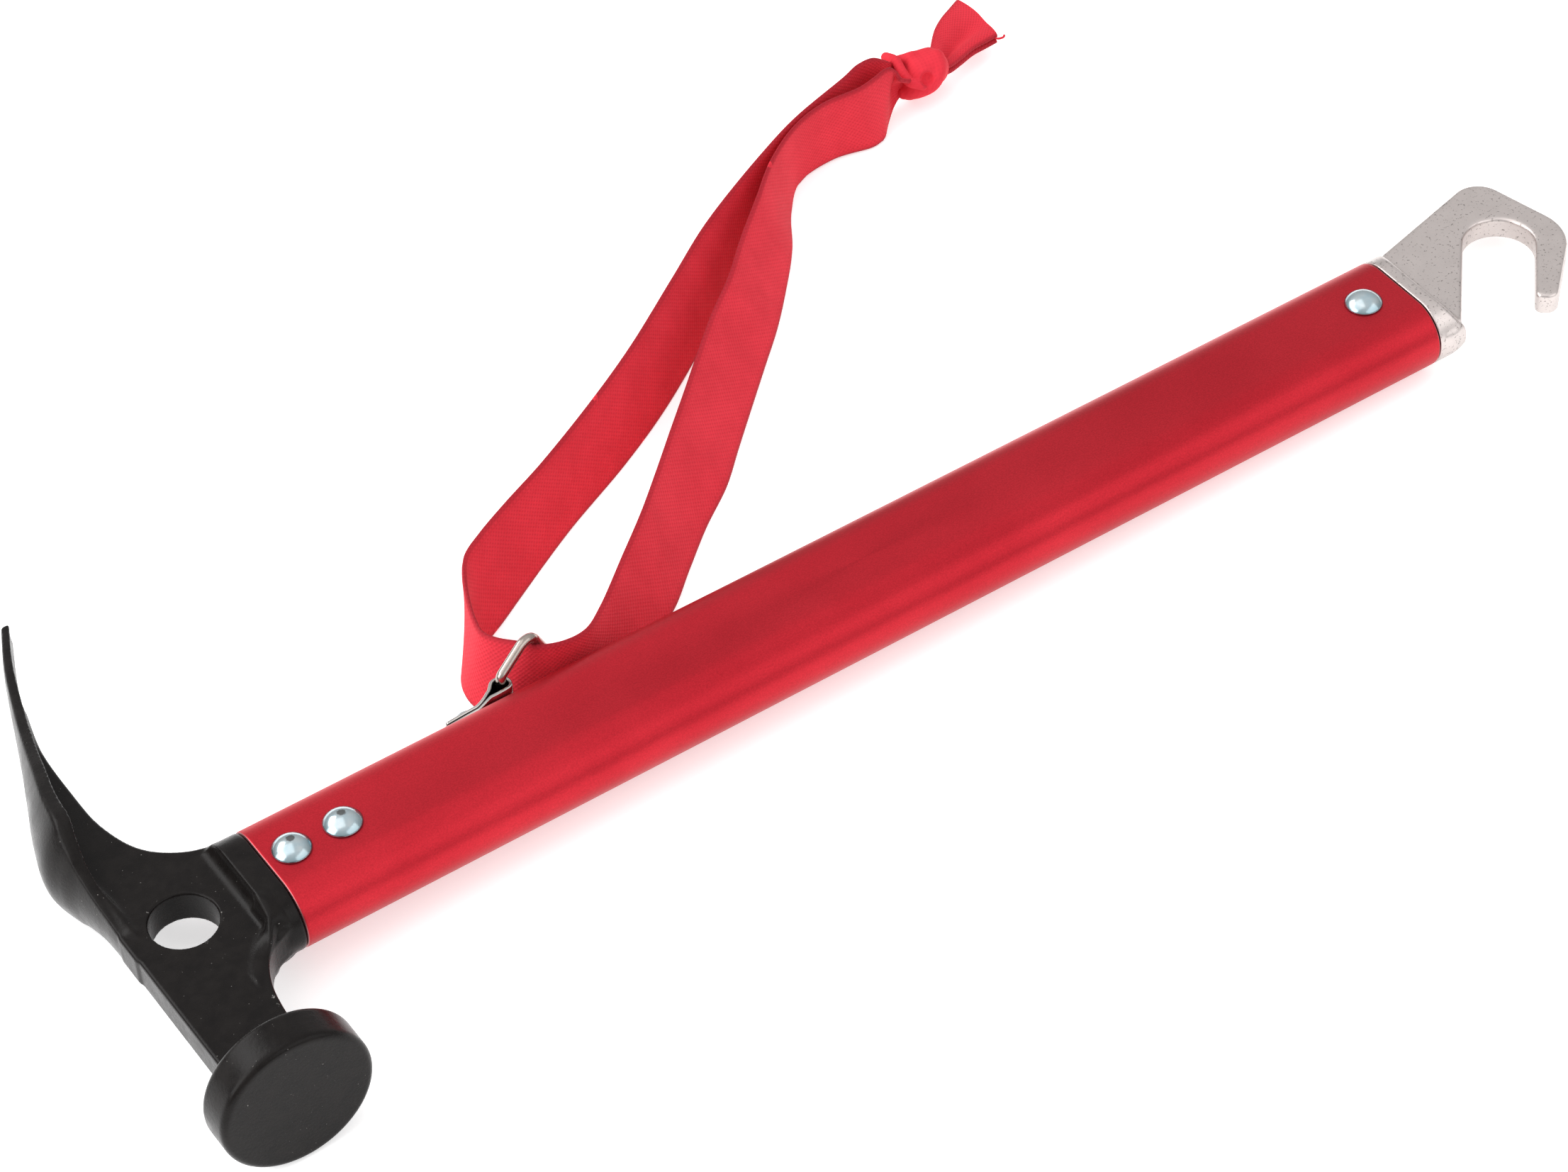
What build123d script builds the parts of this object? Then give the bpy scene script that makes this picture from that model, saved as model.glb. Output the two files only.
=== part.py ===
from build123d import *
import math
import os

# A 305 mm camping hammer: striking disc and curved pick on a cast head, a flat oval tube as the
# handle, a flat hook for pulling pegs, and a webbing wrist strap on a D-ring.
# Millimetres. +X runs along the handle from the head to the hook, +Y is the pick's side, +Z is the
# thickness. The origin is the centre of the head's round hole, at mid thickness.

# Handle tube, a flat oval
TUBE_START = 16.2
TUBE_LENGTH = 240.0
TUBE_WIDTH = 25.0
TUBE_HEIGHT = 14.0
TUBE_WALL = 1.5
TUBE_END = TUBE_START + TUBE_LENGTH
SHOULDER_GAP = 0.2
TANG_CLEARANCE = 0.05

# Head
HOLE_DIAMETER = 12.0
WEB_THICKNESS = 6.4
SPINE_X = -10.6
DISC_DIAMETER = 27.8
DISC_X = -2.6
FACE_Y = -42.4
DISC_THICKNESS = 7.4
DISC_EDGE_RADIUS = 1.2
NECK_INNER_X = 4.2
COLLAR_START = 11.2
COVE_RADIUS = 2.8
COLLAR_CHAMFER = 0.7
HEAD_TANG_LENGTH = 22.0

# Pick blade: a thin cupped leaf. Each station is y, the crown's x, and half the width.
BLADE_THICKNESS = 2.0
BLADE_CUP_RADIUS = 16.0
BLADE_STATIONS = (
    (2.0, -10.5, 3.2),
    (10.0, -10.8, 4.1),
    (16.0, -11.7, 6.4),
    (20.0, -12.8, 9.0),
    (25.0, -13.6, 10.8),
    (32.0, -11.7, 10.0),
    (40.0, -8.6, 8.5),
    (48.0, -5.5, 6.6),
    (56.0, -2.6, 5.1),
    (70.0, 2.5, 3.6),
    (80.5, 7.3, 2.4),
)

# Peg hook
PLATE_THICKNESS = 4.7
HOOK_COLLAR_LENGTH = 3.3
HOOK_RAMP_LENGTH = 2.6
HOOK_TANG_LENGTH = 18.0
MOUTH_RADIUS = 6.75
MOUTH_CENTRE = (282.2, 2.1)
MOUTH_ANGLE = 229.7
MOUTH_REACH = 40.0
TOP_CORNER = (291.2, 19.3)
TOP_RADIUS = 5.0
BEND_CORNER = (295.7, -2.4)
BEND_RADIUS = 9.5
ARM_LENGTH = 14.5
ARM_TIP_WIDTH = 4.1
ARM_TIP_INNER_RADIUS = 1.6
ARM_TIP_OUTER_RADIUS = 1.9

# Rivets through the tube's wide faces
RIVET_DIAMETER = 4.0
RIVET_CLEARANCE = 0.05
RIVET_HEAD_DIAMETER = 7.0
RIVET_HEAD_HEIGHT = 2.1
RIVET_TAIL_DIAMETER = 6.4
RIVET_TAIL_HEIGHT = 1.6
HEAD_RIVETS_X = (TUBE_START + 4.9, TUBE_START + 14.7)
HOOK_RIVET_X = TUBE_END - 8.3

# Clip folded round the ring's bar, blind-riveted to the tube's narrow +Y side
CLIP_THICKNESS = 0.7
CLIP_WIDTH = 8.0
CLIP_END_X = 58.6
CLIP_RIVET_X = 62.2
CLIP_RIVET_DIAMETER = 3.0
CLIP_RIVET_HEAD_DIAMETER = 4.6
CLIP_RIVET_HEAD_HEIGHT = 1.0
TUBE_SIDE_Y = TUBE_WIDTH / 2

# D-ring, hinged on its straight bar. The corners of half of it: distance from the bar, and height.
BAR_X = 70.6
BAR_Y = 14.6
WIRE_RADIUS = 0.95
RING_ANGLE = 15.0
RING_CORNERS = ((0.0, 0.0), (0.0, 6.2), (8.2, 12.0), (11.8, 4.2), (11.8, 0.0))
RING_RADII = (1.2, 2.6, 6.0)

# Wrist strap: 15 mm webbing. It stands on edge on the plane that the hammer rests on: the disc's
# rim, the blade's lower edge and the hook's collar touch that plane.
STRAP_WIDTH = 15.0
STRAP_THICKNESS = 1.0
STRAP_LIFT = 1.7
REST_Z = -13.66
REST_SLOPE_X = 0.0181
REST_SLOPE_Y = 0.0491
REST_X0 = -2.6
REST_Y0 = -38.7
# The band's line in plan: from the knot down the far leg, round through the ring, and back
STRAP_ROUTE = (
    (219.5, 109.8),
    (210.4, 108.7),
    (193.0, 103.9),
    (166.0, 92.0),
    (143.5, 74.5),
    (108.0, 54.0),
    (85.0, 42.5),
    (76.5, 35.0),
    (73.0, 26.5),
    (73.2, 19.2),
    (77.6, 14.9),
    (88.0, 15.4),
    (107.0, 25.5),
    (138.5, 52.5),
    (169.0, 80.5),
    (183.0, 95.0),
    (192.5, 101.3),
    (202.5, 102.8),
    (211.0, 103.0),
    (219.5, 105.8),
)
KNOT_CENTRE = (223.5, 107.8)
KNOT_SIZE = (11.5, 9.5, 8.5)
KNOT_GAP = 0.2
TAILS = ((226.5, 105.0), (226.5, 110.0), (233.5, 115.5), (242.5, 121.5), (244.5, 109.0))
TAILS_LOW = 3.6
TAILS_THICKNESS = 2.2


def flat_oval(width, height, x, length):
    """A bar of flat oval section along +X, starting at x."""
    return extrude(Plane.YZ.offset(x) * SlotOverall(width, height), length)


def upright_pin(x, y, diameter, half_length):
    """A round pin along Z through the middle of the thickness."""
    return Pos(x, y, 0) * Cylinder(diameter / 2, 2 * half_length)


def tang(x, length):
    """The bar inside the tube that the rivets hold."""
    shrink = 2 * (TUBE_WALL + TANG_CLEARANCE)
    return flat_oval(TUBE_WIDTH - shrink, TUBE_HEIGHT - shrink, x, length)


def rest_z(x, y):
    """Height of the plane that the hammer rests on."""
    return REST_Z + REST_SLOPE_X * (x - REST_X0) + REST_SLOPE_Y * (y - REST_Y0)


# ---------------------------------------------------------------- head


def blade_section(y, crown_x, half_width):
    """One cupped section of the pick's blade, in the plane of that y."""
    sag = BLADE_CUP_RADIUS - math.sqrt(BLADE_CUP_RADIUS**2 - half_width**2)
    inner = crown_x + BLADE_THICKNESS
    low_outer = (crown_x + sag, y, -half_width)
    high_outer = (crown_x + sag, y, half_width)
    low_inner = (inner + sag, y, -half_width)
    high_inner = (inner + sag, y, half_width)
    outline = [
        ThreePointArc(low_outer, (crown_x, y, 0), high_outer),
        Line(high_outer, high_inner),
        ThreePointArc(high_inner, (inner, y, 0), low_inner),
        Line(low_inner, low_outer),
    ]
    return make_face(Wire(outline))


def blade():
    return loft([blade_section(*station) for station in BLADE_STATIONS])


def web():
    """The flat middle of the head, from the disc's neck to a rib along the blade."""
    neck_end = FACE_Y + DISC_THICKNESS / 2
    rib = [(x + BLADE_THICKNESS / 2, y) for y, x, _ in BLADE_STATIONS if 10 < y < 60]
    spine = Polyline((SPINE_X, neck_end), (SPINE_X, 10.0), *rib, (0.4, 57.5))
    pick_side = Spline(
        (0.4, 57.5), (-1.0, 48.5), (-1.4, 38.0), (-0.9, 27.0), (2.1, 18.5), (7.6, 13.7), (13.5, 11.7)
    )
    hammer_side = Spline((13.5, -11.7), (8.6, -14.4), (5.6, -19.5), (NECK_INNER_X, -27.0))
    rest = Polyline((NECK_INNER_X, -27.0), (NECK_INNER_X, neck_end), (SPINE_X, neck_end))
    outline = Wire([*spine.edges(), pick_side, Line((13.5, 11.7), (13.5, -11.7)), hammer_side, *rest.edges()])
    return extrude(make_face(outline), WEB_THICKNESS / 2, both=True)


def collar():
    """The shoulder that the tube butts against, with a cove down to the web."""
    low = WEB_THICKNESS / 2
    half = TUBE_HEIGHT / 2
    cove_x = COLLAR_START - COVE_RADIUS
    end = TUBE_START - SHOULDER_GAP
    front = Polyline(
        (COLLAR_START, low + COVE_RADIUS),
        (COLLAR_START, half - COLLAR_CHAMFER),
        (COLLAR_START + COLLAR_CHAMFER, half),
        (end, half),
        (end, 0),
    )
    edges = [
        Line((cove_x, 0), (cove_x, low)),
        CenterArc((cove_x, low + COVE_RADIUS), COVE_RADIUS, -90, 90),
        *front.edges(),
        Line((end, 0), (cove_x, 0)),
    ]
    upper = extrude(Plane.XZ * make_face(Wire(edges)), TUBE_WIDTH, both=True)
    profile = upper + mirror(upper, Plane.XY)
    return profile & flat_oval(TUBE_WIDTH, TUBE_HEIGHT, cove_x, end - cove_x)


def striking_disc():
    disc = Cylinder(DISC_DIAMETER / 2, DISC_THICKNESS)
    disc = fillet(disc.edges().filter_by(GeomType.CIRCLE), DISC_EDGE_RADIUS)
    return Pos(DISC_X, FACE_Y + DISC_THICKNESS / 2, 0) * Rot(90, 0, 0) * disc


def hammer_head():
    joint = TUBE_START - SHOULDER_GAP
    head = web() + striking_disc() + collar() + blade() + tang(joint - 1, HEAD_TANG_LENGTH + 1)
    head -= upright_pin(0, 0, HOLE_DIAMETER, TUBE_HEIGHT)
    for x in HEAD_RIVETS_X:
        head -= upright_pin(x, 0, RIVET_DIAMETER + 2 * RIVET_CLEARANCE, TUBE_HEIGHT)
    return head


# ---------------------------------------------------------------- handle and hook


def handle_tube():
    inner_width = TUBE_WIDTH - 2 * TUBE_WALL
    inner_height = TUBE_HEIGHT - 2 * TUBE_WALL
    tube = flat_oval(TUBE_WIDTH, TUBE_HEIGHT, TUBE_START, TUBE_LENGTH)
    tube -= flat_oval(inner_width, inner_height, TUBE_START, TUBE_LENGTH)
    for x in (*HEAD_RIVETS_X, HOOK_RIVET_X):
        tube -= upright_pin(x, 0, RIVET_DIAMETER + 2 * RIVET_CLEARANCE, TUBE_HEIGHT)
    hole = Cylinder(CLIP_RIVET_DIAMETER / 2 + RIVET_CLEARANCE, 4 * TUBE_WALL)
    return tube - Pos(CLIP_RIVET_X, TUBE_SIDE_Y, 0) * Rot(90, 0, 0) * hole


def round_corner(plate, corner, radius):
    """Fillet the upright edge nearest to a corner in plan."""
    edge = plate.edges().filter_by(Axis.Z).sort_by_distance((*corner, 0))[0]
    return fillet(edge, radius)


def along_mouth(distance, side):
    """A point beside the mouth's centreline: distance towards the opening, side across it."""
    turn = math.radians(MOUTH_ANGLE)
    x = MOUTH_CENTRE[0] + distance * math.cos(turn) - side * math.sin(turn)
    y = MOUTH_CENTRE[1] + distance * math.sin(turn) + side * math.cos(turn)
    return (x, y)


def hook_plate():
    """The flat hook: one arm round a slanting mouth that opens towards -Y."""
    start = TUBE_END + HOOK_COLLAR_LENGTH
    outer = MOUTH_RADIUS + ARM_TIP_WIDTH
    corners = Polyline(
        (start, 12.0),
        (262.0, 12.7),
        TOP_CORNER,
        BEND_CORNER,
        along_mouth(ARM_LENGTH, outer),
        along_mouth(ARM_LENGTH, 0),
        (264.0, -16.0),
        (start, -12.0),
        close=True,
    )
    plate = extrude(make_face(corners), PLATE_THICKNESS / 2, both=True)
    plate = round_corner(plate, TOP_CORNER, TOP_RADIUS)
    plate = round_corner(plate, BEND_CORNER, BEND_RADIUS)
    slot = Pos(*MOUTH_CENTRE) * Cylinder(MOUTH_RADIUS, TUBE_HEIGHT)
    middle = along_mouth(MOUTH_REACH / 2, 0)
    slot += Pos(*middle) * Rot(0, 0, MOUTH_ANGLE) * Box(MOUTH_REACH, 2 * MOUTH_RADIUS, TUBE_HEIGHT)
    plate -= slot
    plate = round_corner(plate, along_mouth(ARM_LENGTH, MOUTH_RADIUS), ARM_TIP_INNER_RADIUS)
    return round_corner(plate, along_mouth(ARM_LENGTH, outer), ARM_TIP_OUTER_RADIUS)


def hook_collar():
    """The hook's shoulder at the tube's end, ramping down to the plate."""
    start = TUBE_END + SHOULDER_GAP
    full = TUBE_END + HOOK_COLLAR_LENGTH
    ramp_end = full + HOOK_RAMP_LENGTH
    half = TUBE_HEIGHT / 2
    low = PLATE_THICKNESS / 2
    side = Polyline(
        (start, -half),
        (full - COLLAR_CHAMFER, -half),
        (full, -half + COLLAR_CHAMFER),
        (ramp_end, -low),
        (ramp_end, low),
        (full, half - COLLAR_CHAMFER),
        (full - COLLAR_CHAMFER, half),
        (start, half),
        close=True,
    )
    profile = extrude(Plane.XZ * make_face(side), TUBE_WIDTH, both=True)
    return profile & flat_oval(TUBE_WIDTH, TUBE_HEIGHT, start, ramp_end - start)


def peg_hook():
    hook = hook_plate() + hook_collar()
    hook += tang(TUBE_END - HOOK_TANG_LENGTH, HOOK_TANG_LENGTH + 1)
    return hook - upright_pin(HOOK_RIVET_X, 0, RIVET_DIAMETER + 2 * RIVET_CLEARANCE, TUBE_HEIGHT)


# ---------------------------------------------------------------- rivets


def button(radius, height):
    """A rivet's head on the plane z = 0: a low rim with a dome above it."""
    rim = 0.17 * height
    rise = height - rim
    ball = (radius**2 + rise**2) / (2 * rise)
    blank = Cylinder(radius, height, align=(Align.CENTER, Align.CENTER, Align.MIN))
    return blank & Pos(0, 0, height - ball) * Sphere(ball)


def rivet(x):
    """A solid rivet through tube and tang: domed head above, formed tail below."""
    half = TUBE_HEIGHT / 2
    shank = RIVET_DIAMETER / 2
    head = RIVET_HEAD_DIAMETER / 2
    tail = RIVET_TAIL_DIAMETER / 2
    solid = Cylinder(shank, 2 * half)
    solid += Pos(0, 0, half) * button(head, RIVET_HEAD_HEIGHT)
    solid += Pos(0, 0, -half) * Rot(180, 0, 0) * button(tail, RIVET_TAIL_HEIGHT)
    return Pos(x, 0, 0) * solid


def clip_rivet():
    """A blind rivet: its head outside the clip, its bulb inside the tube."""
    outside = TUBE_SIDE_Y + 2 * CLIP_THICKNESS + 0.04
    inside = TUBE_SIDE_Y - TUBE_WALL - 0.5
    bulb_length = 2.5
    bulb_radius = 2.1
    shank = CLIP_RIVET_DIAMETER / 2
    head = CLIP_RIVET_HEAD_DIAMETER / 2
    solid = Pos(0, 0, (inside + outside) / 2) * Cylinder(shank, outside - inside)
    solid += Pos(0, 0, outside) * button(head, CLIP_RIVET_HEAD_HEIGHT)
    solid += Pos(0, 0, inside) * Rot(180, 0, 0) * button(bulb_radius, bulb_length)
    return Pos(CLIP_RIVET_X, 0, 0) * Rot(-90, 0, 0) * solid


# ---------------------------------------------------------------- clip and ring


def ring_clip():
    """A strip folded back on itself round the ring's bar."""
    half = CLIP_THICKNESS / 2
    inner_y = TUBE_SIDE_Y + half + 0.01
    outer_y = inner_y + CLIP_THICKNESS + 0.02
    loop = WIRE_RADIUS + half + 0.08
    path = FilletPolyline(
        (CLIP_END_X, inner_y),
        (BAR_X - 2.2, inner_y),
        (BAR_X + loop, BAR_Y - loop),
        (BAR_X + loop, BAR_Y + loop),
        (BAR_X - 1.1, BAR_Y + loop),
        (BAR_X - 4.4, outer_y),
        (CLIP_END_X, outer_y),
        radius=[2.0, 1.2, 1.2, 0.8, 2.0],
    )
    strip = trace(path, CLIP_THICKNESS)
    clip = extrude(strip, CLIP_WIDTH / 2, both=True)
    hole = Cylinder(CLIP_RIVET_DIAMETER / 2 + RIVET_CLEARANCE, 8 * CLIP_THICKNESS)
    return clip - Pos(CLIP_RIVET_X, TUBE_SIDE_Y + CLIP_THICKNESS, 0) * Rot(90, 0, 0) * hole


def d_ring():
    """A wire D: a short straight bar along Z, arms that spread from it, and a wide bow."""
    half_wire = Wire(FilletPolyline(*RING_CORNERS, radius=list(RING_RADII)).edges())
    half_ring = sweep(Plane.XZ * Circle(WIRE_RADIUS), path=half_wire)
    ring = half_ring + mirror(half_ring, Plane.XZ)
    turn = math.radians(RING_ANGLE)
    plane = Plane(
        origin=(BAR_X, BAR_Y, 0),
        x_dir=(math.cos(turn), math.sin(turn), 0),
        z_dir=(math.sin(turn), -math.cos(turn), 0),
    )
    return plane * ring


# ---------------------------------------------------------------- wrist strap


def on_rest_plane(lift):
    """A drawing plane that lies lift above the resting plane, with local x and y close to X and Y."""
    slope = Vector(-REST_SLOPE_X, -REST_SLOPE_Y, 1)
    return Plane(origin=(0, 0, rest_z(0, 0) + lift), x_dir=(1, 0, REST_SLOPE_X), z_dir=slope)


def knot_block(grown):
    """The knot's rounded block on the resting plane, made larger all round by grown."""
    length, width, height = KNOT_SIZE
    block = Box(length + 2 * grown, width + 2 * grown, height + 2 * grown)
    block = fillet(block.edges(), 2.5)
    return on_rest_plane(STRAP_LIFT) * Pos(*KNOT_CENTRE, height / 2) * block


def wrist_strap():
    """The webbing standing on edge along its route, up to the knot."""
    band = trace(Spline(*STRAP_ROUTE), STRAP_THICKNESS)
    return extrude(on_rest_plane(STRAP_LIFT) * band, STRAP_WIDTH) - knot_block(KNOT_GAP)


def strap_knot():
    """The overhand knot and the two cut ends beyond it."""
    tails = extrude(make_face(Polyline(*TAILS, close=True)), TAILS_THICKNESS)
    return knot_block(0) + on_rest_plane(STRAP_LIFT) * Pos(0, 0, TAILS_LOW) * tails


parts = {
    "hammer_head": hammer_head(),
    "handle_tube": handle_tube(),
    "peg_hook": peg_hook(),
    "head_rivets": Compound([rivet(x) for x in HEAD_RIVETS_X]),
    "hook_rivet": rivet(HOOK_RIVET_X),
    "ring_clip": ring_clip(),
    "clip_rivet": clip_rivet(),
    "d_ring": d_ring(),
    "wrist_strap": wrist_strap(),
    "strap_knot": strap_knot(),
}

os.makedirs("parts", exist_ok=True)
for name, shape in parts.items():
    export_step(shape, f"parts/{name}.step")
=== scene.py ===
import math

import bpy
import numpy as np
import openvdb
from mathutils import Matrix, Vector


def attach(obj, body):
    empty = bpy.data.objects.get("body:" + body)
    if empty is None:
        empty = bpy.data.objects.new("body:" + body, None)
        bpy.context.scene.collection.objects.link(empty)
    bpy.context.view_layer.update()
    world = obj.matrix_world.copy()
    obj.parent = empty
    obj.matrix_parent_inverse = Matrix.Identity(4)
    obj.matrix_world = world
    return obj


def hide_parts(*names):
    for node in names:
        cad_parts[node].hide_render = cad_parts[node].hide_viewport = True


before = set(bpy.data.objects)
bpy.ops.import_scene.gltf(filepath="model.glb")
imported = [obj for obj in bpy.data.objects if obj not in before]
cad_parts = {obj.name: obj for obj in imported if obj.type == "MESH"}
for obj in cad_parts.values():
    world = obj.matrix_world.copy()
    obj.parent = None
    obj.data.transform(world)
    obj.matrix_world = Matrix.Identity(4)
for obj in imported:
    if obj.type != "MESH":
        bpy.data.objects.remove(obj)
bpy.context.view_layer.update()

MM = 0.001  # shapes below are worked out in millimetres and turned into metres when a mesh is made

# Sizes that several pieces share
TUBE_START = 16.2
TUBE_END = 256.2
TUBE_WIDTH = 25.0
TUBE_HEIGHT = 14.0
TANG_WIDTH = 21.9
TANG_HEIGHT = 10.9
HEAD_RIVETS_X = (21.1, 30.9)
HOOK_RIVET_X = 247.9
RIVET_HOLE_RADIUS = 2.05
DISC_X = -2.6
DISC_Y = -38.7


# ---------------------------------------------------------------- mesh helpers


def make_object(name, points_mm, faces, uv=None):
    """A smooth-shaded mesh object from points in millimetres. uv holds one pair for each point."""
    mesh = bpy.data.meshes.new(name)
    points = np.asarray(points_mm, float) * MM
    mesh.from_pydata([tuple(p) for p in points], [], [tuple(int(i) for i in f) for f in faces])
    mesh.validate()
    mesh.shade_smooth()
    if uv is not None:
        layer = mesh.uv_layers.new(name="surface")
        corner = np.zeros(len(mesh.loops), np.int32)
        mesh.loops.foreach_get("vertex_index", corner)
        layer.data.foreach_set("uv", np.asarray(uv, np.float32)[corner].ravel())
    obj = bpy.data.objects.new(name, mesh)
    bpy.context.scene.collection.objects.link(obj)
    return obj


def grid_faces(rows, columns, closed_rows=False, closed_columns=False):
    """Quads of a grid of points numbered row by row, wrapping round where asked."""
    faces = []
    for i in range(rows if closed_rows else rows - 1):
        a = i * columns
        b = ((i + 1) % rows) * columns
        for j in range(columns if closed_columns else columns - 1):
            k = (j + 1) % columns
            faces.append((a + j, a + k, b + k, b + j))
    return faces


def evenly_spaced(points, count, endpoint=True):
    """count points at even distances along a line of points of any dimension."""
    length = np.r_[0, np.cumsum(np.linalg.norm(np.diff(points, axis=0), axis=1))]
    even = np.linspace(0, length[-1], count, endpoint=endpoint)
    return np.stack([np.interp(even, length, points[:, k]) for k in range(points.shape[1])], axis=1)


def between(t, low, high, start, end):
    """The point that is start where t is low and end where t is high, on a straight line."""
    return (high - t) / (high - low) * start + (t - low) / (high - low) * end


def smooth_curve(points, count):
    """Points evenly spaced along a Catmull-Rom curve through the given points."""
    p = np.asarray(points, float)
    p = np.vstack([2 * p[0] - p[1], p, 2 * p[-1] - p[-2]])
    fine = []
    steps = 24
    for i in range(1, len(p) - 2):
        a, b, c, d = p[i - 1 : i + 3]
        spans = ((b, a), (c, b), (d, c))
        k0, k1, k2, k3 = np.cumsum([0] + [math.sqrt(np.linalg.norm(q - r)) + 1e-9 for q, r in spans])
        for t in np.linspace(k1, k2, steps, endpoint=False):
            ab = between(t, k0, k1, a, b)
            bc = between(t, k1, k2, b, c)
            cd = between(t, k2, k3, c, d)
            abc = between(t, k0, k2, ab, bc)
            bcd = between(t, k1, k3, bc, cd)
            fine.append(between(t, k1, k2, abc, bcd))
    fine.append(p[-2])
    return evenly_spaced(np.array(fine), count)


def smooth_loop(outline, count):
    """The same closed line with its points evenly spaced."""
    return evenly_spaced(np.vstack([outline, outline[:1]]), count, endpoint=False)


def swept_tube(name, path, radius, sides=20, closed=False):
    """A round tube of even radius along a path of points in millimetres."""
    path = np.asarray(path, float)
    if closed:
        tangent = np.roll(path, -1, axis=0) - np.roll(path, 1, axis=0)
    else:
        tangent = np.gradient(path, axis=0)
    tangent /= np.linalg.norm(tangent, axis=1)[:, None]
    normal = np.cross(tangent[0], (0.3, 0.4, 0.86))
    rings = []
    for point, along in zip(path, tangent):
        normal = normal - along * (normal @ along)
        normal /= np.linalg.norm(normal)
        side = np.cross(along, normal)
        turn = np.linspace(0, 2 * math.pi, sides, endpoint=False)
        rings.append(point + radius * (np.cos(turn)[:, None] * normal + np.sin(turn)[:, None] * side))
    faces = grid_faces(len(path), sides, closed_rows=closed, closed_columns=True)
    if not closed:
        faces.append(tuple(range(sides))[::-1])
        faces.append(tuple(range((len(path) - 1) * sides, len(path) * sides)))
    return make_object(name, np.concatenate(rings), faces)


def lathe(name, profile, centre, axis_turn, sides=64):
    """A turned solid: the profile is (radius, height) from the axis at the bottom to the axis at the top."""
    inner = profile[1:-1]
    points = [(0, 0, profile[0][1])]
    for radius, height in inner:
        for turn in np.linspace(0, 2 * math.pi, sides, endpoint=False):
            points.append((radius * math.cos(turn), radius * math.sin(turn), height))
    points.append((0, 0, profile[-1][1]))
    faces = []
    for j in range(sides):
        k = (j + 1) % sides
        faces.append((0, 1 + k, 1 + j))
        last = 1 + (len(inner) - 1) * sides
        faces.append((len(points) - 1, last + j, last + k))
    faces += [tuple(1 + i for i in f) for f in grid_faces(len(inner), sides, closed_columns=True)]
    points = np.array(points)
    turned = points @ np.array(axis_turn.to_3x3()).T
    return make_object(name, turned + np.array(centre), faces, points[:, :2])


# ---------------------------------------------------------------- solids as distance fields


def field_axes(low, high, step):
    """The three coordinate arrays of a grid, each shaped to broadcast over the others."""
    x, y, z = (np.arange(a, b + step, step, dtype=np.float32) for a, b in zip(low, high))
    return x[:, None, None], y[None, :, None], z[None, None, :]


def polygon_distance(x, y, corners):
    """Signed distance in plan to a polygon, negative inside."""
    corners = np.asarray(corners, np.float32)
    distance = np.full(np.broadcast(x, y).shape, 1e9, np.float32)
    inside = np.zeros(distance.shape, bool)
    for (ax, ay), (bx, by) in zip(corners, np.roll(corners, -1, axis=0)):
        ex, ey = bx - ax, by - ay
        share = np.clip(((x - ax) * ex + (y - ay) * ey) / (ex * ex + ey * ey + 1e-12), 0, 1)
        distance = np.minimum(distance, (x - ax - share * ex) ** 2 + (y - ay - share * ey) ** 2)
        crosses = (ay > y) != (by > y)
        at = ex * (y - ay) / (ey if abs(ey) > 1e-9 else 1e-9) + ax
        inside ^= crosses & (x < at)
    return np.where(inside, -1, 1) * np.sqrt(distance)


def both(a, b, radius):
    """The part of a that is also in b, with its edge rounded by radius."""
    a, b = a + radius, b + radius
    return np.minimum(np.maximum(a, b), 0) + np.sqrt(np.maximum(a, 0) ** 2 + np.maximum(b, 0) ** 2) - radius


def joined(a, b, radius):
    """a and b together, with a round fillet of that radius where they meet."""
    corner = np.sqrt(np.maximum(radius - a, 0) ** 2 + np.maximum(radius - b, 0) ** 2)
    return np.maximum(np.minimum(a, b), radius) - corner


def cut(a, b, radius):
    """a with b taken away, its new edge rounded by radius."""
    return both(a, -b, radius)


def flat_oval_distance(y, z, width, height):
    """Signed distance in the YZ plane to a flat oval."""
    return np.sqrt(np.maximum(np.abs(y) - (width - height) / 2, 0) ** 2 + z**2) - height / 2


def solid_from_field(name, field, low, step):
    """The surface where the field is zero, as one closed mesh of quads."""
    grid = openvdb.FloatGrid()
    grid.background = 3 * step
    grid.copyFromArray(np.clip(field, -3 * step, 3 * step).astype(np.float32))
    points, quads = grid.convertToQuads(isovalue=0.0)
    return make_object(name, points * step + np.array(low), quads[:, ::-1])


# ---------------------------------------------------------------- materials


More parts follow.
